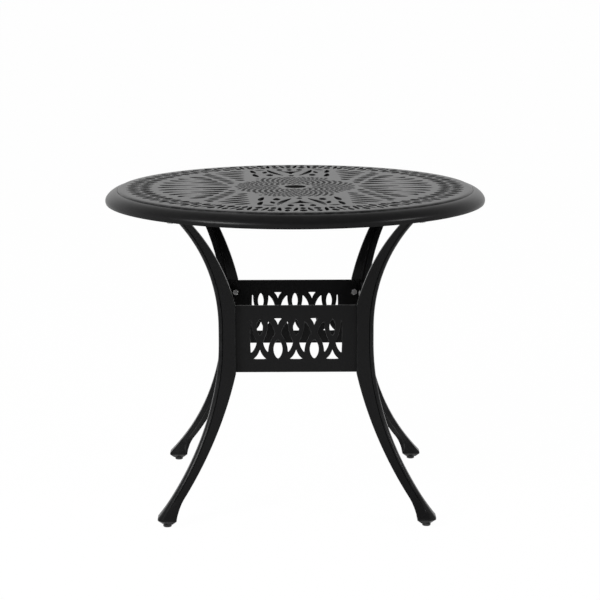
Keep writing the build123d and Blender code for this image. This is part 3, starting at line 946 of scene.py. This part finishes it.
@dataclass
class Legs:
    """Four bowed castings of angle section, each with a quirked bead down its outer corner."""

    finish: Material
    waist: float = 180.3
    waist_width: float = 40.0
    waist_low: float = 405.0
    waist_high: float = 440.0
    head_inset: float = 10.5
    head_width: float = 27.0
    neck_width: float = 32.7
    shin_width: float = 33.2
    ankle_width: float = 29.5
    ankle_height: float = 60.0
    ankle_curve: float = 1.6
    flange: float = 12.8
    flat: float = 3.4
    edge: float = 1.6
    hollow: float = 0.62
    glide_radius: float = 10.2
    toe_width: float = 44.0
    toe_top: float = 21.0
    toe_bevel: float = 9.0
    toe_lip: float = 1.5
    toe_wall: float = 3.0
    toe_rounding: float = 5.0
    pad: float = 6.0
    pad_width: float = 42.0
    pad_end: float = 16.0
    pad_corner: float = 12.0
    pad_edge: float = 1.2
    bead: float = 8.6
    quirk: float = 2.2
    quirk_depth: float = 1.8
    least_quirk: float = 0.05
    seat_end: float = 157.5
    seat_clearance: float = 0.5

    def __post_init__(self) -> None:
        """Take the heights and the reach of the toe from the frame."""
        low, high = frame_box("leg_back_right")
        self.toe_low, self.head = low.z, high.z - self.pad
        self.toe_outer = frame_box("foot_glide_back_right")[0].x + self.glide_radius + self.toe_width / 2
        self.head_half = PAD_BOLT_RADII[1] / math.sqrt(2) - self.head_inset
        apron_low, apron_high = frame_box("apron_back")
        self.seat_low, self.seat_high = apron_low.z - self.seat_clearance, apron_high.z + self.seat_clearance

    @staticmethod
    def bow(rise: float, full_rise: float, full_reach: float) -> float:
        """Sideways reach of an arc that leaves upright and ends at a full rise and reach."""
        radius = (full_rise ** 2 + full_reach ** 2) / (2 * full_reach)
        return radius - math.sqrt(max(radius ** 2 - rise ** 2, 0.0))

    def outer(self, height: float) -> float:
        """Distance of the two outer faces from the table's middle planes.

        Args:
            height: height above the floor.

        Returns:
            The distance.
        """
        if height < self.toe_top:
            return self.toe_outer
        if height < self.waist_low:
            rise = self.waist_low - height
            return self.waist + self.bow(rise, self.waist_low - self.toe_top, self.toe_outer - self.waist)
        if height > self.waist_high:
            rise = height - self.waist_high
            return self.waist + self.bow(rise, self.head - self.waist_high, self.head_half - self.waist)
        return self.waist

    def width(self, height: float) -> float:
        """Width of each outer face.

        Args:
            height: height above the floor.

        Returns:
            The width.
        """
        if height <= self.toe_top:
            return self.toe_width
        if height < self.ankle_height:
            share = (height - self.toe_top) / (self.ankle_height - self.toe_top)
            flare = (1 - share) ** self.ankle_curve
            return self.toe_width + (self.ankle_width - self.toe_width) * (1 - flare)
        edge = self.waist - self.waist_width
        if height < self.seat_low:
            start, first, middle, end = self.ankle_height, self.ankle_width, self.shin_width, self.seat_low
        elif height > self.seat_high:
            start, first, middle, end = self.head, self.head_width, self.neck_width, self.seat_high
        else:
            return self.outer(height) - edge
        return bend(first, middle, self.outer(end) - edge, (height - start) / (end - start))

    def heights(self) -> list[tuple[float, bool]]:
        """Heights of the sections from the toe up.

        Returns:
            Each height with whether the apron's seat is cut there.
        """
        toe = (self.toe_low, self.toe_low + self.toe_bevel, self.toe_top - self.toe_lip)
        levels = [(height, False) for height in toe]
        spans = (
            (self.toe_top, self.ankle_height, 0, 5, False),
            (self.ankle_height, self.seat_low, 1, 22, False),
            (self.seat_low, self.seat_high, 0, 12, True),
            (self.seat_high, self.head, 0, 18, False))
        for low, high, first, parts, seated in spans:
            levels += [(low + (high - low) * step / parts, seated) for step in range(first, parts + 1)]
        return levels

    def section(self, height: float, seated: bool) -> Loop:
        """Outline of the casting at a height, in the back right quarter.

        Args:
            height: height above the floor.
            seated: whether the apron's seat is cut there.

        Returns:
            The closed loop.
        """
        trim = max(self.toe_bevel - (height - self.toe_low), 0.0)
        outer, width = self.outer(height) - trim, self.width(height)
        inner = outer - width + 2 * trim
        solid = min(max((self.ankle_height - height) / (self.ankle_height - self.toe_top), 0.0), 1.0)
        heel = outer - self.flange - (width - 2 * trim - self.flange - self.toe_wall) * solid
        bead = self.bead + self.toe_rounding * solid
        depth = self.quirk_depth * (1 - solid) + self.least_quirk
        middle, groove = outer - bead, outer - bead - self.quirk
        bead_steps = 6
        turns = [math.radians(90 * step / bead_steps) for step in range(bead_steps + 1)]
        arc = [(middle + bead * math.cos(turn), middle + bead * math.sin(turn), 0.0) for turn in turns]
        if seated:
            seat = [(self.seat_end, self.waist - self.flange), (self.seat_end, self.seat_end),
                    (self.waist - self.flange, self.seat_end)]
        else:
            hollow = self.hollow * (1 - solid)
            web = [
                (heel + (inner - heel) * share, inner + (heel - inner) * share)
                for share in (0.75, 0.5, 0.25)]
            seat = [(x + hollow * (heel - x), y + hollow * (heel - y)) for x, y in web]
        return rounded([
            (outer, inner, self.edge), (outer, inner + self.flat, 0.0),
            (outer, groove, 0.0), (outer - depth, groove + self.quirk / 2, 0.0), *arc,
            (groove + self.quirk / 2, outer - depth, 0.0), (groove, outer, 0.0),
            (inner + self.flat, outer, 0.0), (inner, outer, self.edge), (inner, heel, 0.0),
            *[(x, y, 0.0) for x, y in seat], (heel, inner, 0.0)])

    def build(self) -> None:
        """Make the four legs."""
        # Weights of worn coat and painted highlight round the section: the two rounded edges and the bead
        wear_and_highlight = [0.2] * 4 + [0.0] * 3 + [0.12] * 7 + [0.0] * 3 + [0.2] * 4 + [0.0] * 5
        for corner in Corner:
            draft = Draft()
            draft.loft([
                draft.row([(x, y, height) for x, y in self.section(height, seated)], wear_and_highlight)
                for height, seated in self.heights()])
            self.pad_plate(draft)
            name, node = f"leg_casting_{corner.label}", f"leg_{corner.label}"
            make_piece(name, draft, self.finish, FRAME_BODY, node, corner.value)

    def pad_plate(self, draft: Draft) -> None:
        """Add the plate at the head that is bolted under the top.

        Args:
            draft: the leg's draft.
        """
        first = len(draft.points)
        long = (PAD_BOLT_RADII[1] - PAD_BOLT_RADII[0]) / 2 + self.pad_end
        wide, corner = self.pad_width / 2, self.pad_corner
        outline = rounded(
            [(-long, -wide, corner), (long, -wide, corner), (long, wide, corner), (-long, wide, corner)], 5)
        openwork(draft, outline, [], self.head, self.head + self.pad, self.pad_edge)
        draft.move(first, turned(LEG_TURN) @ Matrix.Translation((sum(PAD_BOLT_RADII) / 2, 0, 0)))


@dataclass
class Aprons:
    """Four lattice panels of standing and hanging ribbon loops."""

    finish: Material
    window_width: float = 213.0
    window_height: float = 97.0
    pitch: float = 84.5
    waist: float = 7.3
    loop_hole: float = 14.4
    cup_hole: float = 21.6
    corner_cut: float = 13.0
    edge: float = 1.4

    def __post_init__(self) -> None:
        """Take the panel's size and place from the frame."""
        low, high = frame_box("apron_back")
        self.half_length = high.x
        self.inner, self.outer = low.y, high.y
        self.middle = (low.z + high.z) / 2
        self.half_height = (high.z - low.z) / 2

    def lattice(self) -> list[Loop]:
        """Openings of the ribbon lattice about the middle of the panel.

        Returns:
            The openings.
        """
        low, high = -self.window_height / 2, self.window_height / 2
        stand, hang = low + 41, low + 60
        loops = []
        for column in (-1, 0, 1):
            middle = column * self.pitch
            loops.append(drop((middle, stand + 15), (middle, high - 2), self.loop_hole))
            loops.append(bowed(
                [(middle, low + 23), (middle + 15.8, low), (middle - 15.8, low)],
                [(middle + 6, low + 9.5), None, (middle - 6, low + 9.5)]))
        for column in (-0.5, 0.5):
            middle = column * self.pitch
            loops.append(drop((middle, low + 1), (middle, hang - 13.5), self.cup_hole))
            loops.append(bowed(
                [(middle, high - 16), (middle + 9.7, high), (middle - 9.7, high)],
                [(middle + 3.6, high - 7), None, (middle - 3.6, high - 7)]))
        corners = [(19, high - 7), (self.waist, stand), (19, low + 15.8), (self.pitch / 2 - self.waist, hang)]
        sides = [(16.8, stand + 25), (11.4, stand - 14), (23.2, low + 39.5), (29.6, hang + 17)]
        between = bowed(corners, sides)
        for shift in (-self.pitch, 0):
            loops.append([(x + shift, y) for x, y in between])
            loops.append([(-x - shift, y) for x, y in between])
        edge = self.window_width / 2 - self.pitch
        end = bowed([*corners[:3], (edge, low + 15.8), (edge, high - 7)], [*sides[:2], None, None, None])
        end = [(x + self.pitch, y) for x, y in end]
        return [eased(loop) for loop in [*loops, end, mirrored(end, across_x=True)]]

    def build(self) -> None:
        """Make the four panels."""
        length, half, cut = self.half_length, self.half_height, self.corner_cut
        outline = rounded([
            (-length, -half, 2), (length, -half, 2), (length, half - cut, 4), (length - cut, half, 4),
            (-length + cut, half, 4), (-length, half - cut, 4)])
        upright = Matrix.Translation((0, self.inner, self.middle)) @ (turned(180) @ turned(90, "X"))
        for side in Side:
            draft = Draft()
            openwork(draft, outline, self.lattice(), 0.0, self.outer - self.inner, self.edge)
            draft.move(0, upright)
            name, node = f"apron_panel_{side.label}", f"apron_{side.label}"
            make_piece(name, draft, self.finish, FRAME_BODY, node, side.value)


@dataclass
class Bolts:
    """Hexagon bolts under the leg pads and inside the aprons."""

    finish: Material
    flats: float = 13.0
    head: float = 5.3
    shank: float = 4.0
    tip: float = 0.7
    washer_share: float = 0.94
    sides: int = 36
    pad_low: float = 708.0
    pad_bolt_length: float = 19.0
    apron_bolt_length: float = 12.5
    apron_half_spacing: float = 147.0
    apron_rise: float = 30.0

    def hexagon(self, height: float, chamfer: float) -> list[tuple[float, float, float]]:
        """Row of points round the head, moved at its corners by a chamfer.

        Args:
            height: height of the row at the middle of the flats.
            chamfer: rise for each millimetre that a point lies further out than the flats.

        Returns:
            The points.
        """
        reach, points = self.flats / 2, []
        for step in range(self.sides):
            turn = 2 * math.pi * step / self.sides
            radius = reach / math.cos((turn + math.pi / 6) % (math.pi / 3) - math.pi / 6)
            rise = chamfer * (radius - reach)
            points.append((radius * math.cos(turn), radius * math.sin(turn), height + rise))
        return points

    def one(self, draft: Draft, length: float, place: Matrix) -> None:
        """Add one bolt along +Z whose head bears on the plane at zero.

        Args:
            draft: where the bolt goes.
            length: length under the head.
            place: where it is put.
        """
        first = len(draft.points)
        shank, washer = self.shank, self.flats / 2 * self.washer_share
        under = [
            (shank - self.tip, length, 0.2), (shank, length - self.tip, 0.2), (shank, -0.1, 0.0),
            (washer, 0.0, 0.4), (washer, -0.35, 0.4)]
        rows = draft.rings(under, self.sides)
        rows.append(draft.row(self.hexagon(-0.5, 0.0), 0.5))
        rows.append(draft.row(self.hexagon(-self.head + 0.45, 0.55), 0.9))
        rows += draft.rings([(washer, -self.head, 0.7), (washer * 0.8, -self.head + 0.15, 0.1)], self.sides)
        draft.loft(rows)
        draft.move(first, place)

    def build(self) -> None:
        """Make both groups of bolts, each bolt turned by another amount."""
        under_pads, in_aprons = Draft(), Draft()
        low, high = frame_box("apron_back")
        for corner in Corner:
            for radius in PAD_BOLT_RADII:
                place = turned(LEG_TURN + corner.value) @ Matrix.Translation((radius, 0, self.pad_low))
                self.one(under_pads, self.pad_bolt_length, place @ turned(7 * radius + corner.value))
        for side in Side:
            for along in (-self.apron_half_spacing, self.apron_half_spacing):
                for height in (low.z + self.apron_rise, high.z - self.apron_rise):
                    place = turned(side.value) @ Matrix.Translation((along, low.y, height)) @ turned(-90, "X")
                    self.one(in_aprons, self.apron_bolt_length, place @ turned(height + along + side.value))
        make_piece("leg_pad_bolts", under_pads, self.finish, FRAME_BODY, "top_bolts")
        make_piece("apron_end_bolts", in_aprons, self.finish, FRAME_BODY, "apron_bolts")


@dataclass
class LevellingFeet:
    """Round glides on threaded studs, one under each leg."""

    plastic: Material
    steel: Material
    pitch: float = 1.25
    thread_depth: float = 0.6
    thread_sides: int = 24
    rows_per_turn: int = 4
    glide_floor: float = 2.5
    glide_rounding: float = 2.4
    glide_segments: int = 40
    facet_half_angle: float = 15.0
    seat: float = 4.2

    def build(self) -> None:
        """Make the glides and their studs."""
        for corner in Corner:
            self.glide(corner.label)
            self.stud(corner.label)

    def glide(self, name: str) -> None:
        """Make one glide, as wide as the flats of its CAD node.

        Args:
            name: the corner that it belongs to.
        """
        low, high = frame_box(f"foot_glide_{name}")
        middle = (low + high) / 2
        radius = (high.x - low.x) / 2 * math.cos(math.radians(self.facet_half_angle))
        curve, top = self.glide_rounding, high.z
        profile = [(radius - curve, low.z, 0.9)]
        curve_steps = 4
        for step in range(1, curve_steps + 1):
            angle = math.radians(90 * step / curve_steps)
            out, up = curve * math.sin(angle), curve * (1 - math.cos(angle))
            profile.append((radius - curve + out, low.z + up, 0.6))
        profile += [
            (radius, top - 2.6, 0.1), (radius - 0.5, top - 2.2, 0.0), (radius - 0.5, top - 1.6, 0.0),
            (radius, top - 1.2, 0.1), (radius, top - 0.6, 0.3), (radius - 0.6, top, 0.3),
            (self.seat, top, 0.0), (self.seat, low.z + self.glide_floor, 0.0)]
        draft = Draft()
        draft.loft(draft.rings(profile, self.glide_segments, (middle.x, middle.y)))
        piece, node = f"glide_moulding_{name}", f"foot_glide_{name}"
        make_piece(piece, draft, self.plastic, f"glide_{name}", node)

    def stud(self, name: str) -> None:
        """Make one stud with its thread.

        Args:
            name: the corner that it belongs to.
        """
        low, high = frame_box(f"foot_stud_{name}")
        middle = (low + high) / 2
        crest, length = (high.x - low.x) / 2, high.z - low.z
        count = int(length / self.pitch * self.rows_per_turn)
        draft = Draft()
        rows = []
        for step in range(count + 1):
            height = low.z + length * step / count
            points = []
            for side in range(self.thread_sides):
                phase = ((height - low.z) / self.pitch - side / self.thread_sides) % 1.0
                radius = crest - self.thread_depth * abs(2 * phase - 1)
                turn = 2 * math.pi * side / self.thread_sides
                x, y = radius * math.cos(turn), radius * math.sin(turn)
                points.append((middle.x + x, middle.y + y, height))
            rows.append(draft.row(points, 0.4))
        draft.loft(rows)
        piece, node = f"threaded_stud_{name}", f"foot_stud_{name}"
        make_piece(piece, draft, self.steel, f"stud_{name}", node)


@dataclass
class Studio:
    """White floor, soft lamps, the surround and the camera, in metres."""

    floor_size: float = 60.0
    floor_colour: Colour = (0.86, 0.86, 0.86)
    floor_roughness: float = 0.9
    floor_glow: float = 0.985
    white: Colour = (1.0, 1.0, 1.0)
    camera_place: tuple[float, float, float] = (-0.0421, -5.0084, 1.4296)
    camera_aim: tuple[float, float, float] = (0.0104, 0.98217, -0.1877)
    camera_roll: float = -0.00186
    lens: float = 127.51
    sensor: float = 36.0
    horizon: float = 1.0
    zenith: float = 0.08
    fade: Pair = (0.3, 0.95)
    lamp_aim: tuple[float, float, float] = (0.0, 0.0, 0.5)

    def build(self) -> None:
        """Make the floor, surround, lamps and camera."""
        bpy.context.scene.view_settings.view_transform = "Standard"
        self.floor()
        self.world()
        self.lamp("front_left_softbox", (-2.35, -2.15, 2.6), (1.5, 1.2), 130)
        self.lamp("front_right_softbox", (3.0, -1.2, 2.4), (0.7, 0.7), 45)
        self.lamp("back_softbox", (0.0, 5.0, 2.0), (6.0, 1.6), 4)
        self.camera()

    @staticmethod
    def put(name: str, data: bpy.types.ID) -> bpy.types.Object:
        """Put a mesh, lamp or camera into the scene.

        Args:
            name: the new object's name.
            data: what it shows.

        Returns:
            The object.
        """
        made = bpy.data.objects.new(name, data)
        bpy.context.scene.collection.objects.link(made)
        return made

    def floor(self) -> None:
        """Make the floor, white where it is seen or reflected, which still takes the table's shadow."""
        half = self.floor_size / 2
        mesh = bpy.data.meshes.new("studio_floor")
        corners = [(-half, -half, 0), (half, -half, 0), (half, half, 0), (-half, half, 0)]
        mesh.from_pydata(corners, [], [(0, 1, 2, 3)])
        material, sheet, shader = new_material("white_floor")
        sheet.feed(shader, {
            "Base Color": self.floor_colour, "Roughness": self.floor_roughness, "Specular IOR Level": 0.0})
        glow = sheet.add("ShaderNodeEmission", {"Color": self.white, "Strength": 1.0})
        rays = sheet.add("ShaderNodeLightPath", {})
        seen = sheet.combine("MAXIMUM", rays["Is Camera Ray"], rays["Is Glossy Ray"])
        seen = sheet.combine("MAXIMUM", seen, rays["Is Transmission Ray"])
        share = sheet.combine("MULTIPLY", seen, self.floor_glow)
        mixed = sheet.add("ShaderNodeMixShader", {0: share, 1: shader.outputs[0], 2: glow[0]})
        sheet.feed(sheet.tree.nodes["Material Output"], {"Surface": mixed[0]})
        mesh.materials.append(material)
        self.put("studio_floor", mesh)

    def world(self) -> None:
        """Make the surround: white round the horizon, dark overhead like a studio's ceiling."""
        world = bpy.data.worlds.new("studio_surround")
        bpy.context.scene.world = world
        world.use_nodes = True
        sheet = NodeSheet(world.node_tree)
        height = sheet.height_of(sheet.add("ShaderNodeTexCoord", {})["Generated"])
        fade = sheet.spread(height, (self.horizon, self.zenith), self.fade)
        sheet.feed(sheet.tree.nodes["Background"], {"Color": self.white, "Strength": fade})

    def lamp(self, name: str, place: Sequence[float], size: Pair, power: float) -> None:
        """Hang one soft lamp that looks at the table.

        Args:
            name: the lamp's name.
            place: where it hangs.
            size: its width and height.
            power: its power in watts.
        """
        light = bpy.data.lights.new(name, "AREA")
        light.shape = "RECTANGLE"
        light.size, light.size_y = size
        light.energy = power
        made = self.put(name, light)
        made.location = place
        made.rotation_euler = (Vector(self.lamp_aim) - Vector(place)).to_track_quat("-Z", "Y").to_euler()

    def camera(self) -> None:
        """Set the camera at the photograph's viewpoint."""
        data = bpy.data.cameras.new("photo_camera")
        data.lens = self.lens
        data.sensor_width = self.sensor
        made = self.put("photo_camera", data)
        made.location = self.camera_place
        level = Vector(self.camera_aim).to_track_quat("-Z", "Y")
        made.rotation_euler = (level @ Quaternion((0.0, 0.0, 1.0), self.camera_roll)).to_euler()
        bpy.context.scene.camera = made


def main() -> None:
    logging.basicConfig(level=logging.INFO, format="%(name)s %(message)s")
    effects = SharedEffects()
    coat = PowderCoat().make(effects)
    steel = ZincSteel().make(effects)
    plastic = MouldedPlastic().make(effects)
    for assembly in (
        Studio(), TableTop(coat), Legs(coat), Aprons(coat), Bolts(steel), LevellingFeet(plastic, steel),
    ):
        assembly.build()


if __name__ == "__main__":
    main()
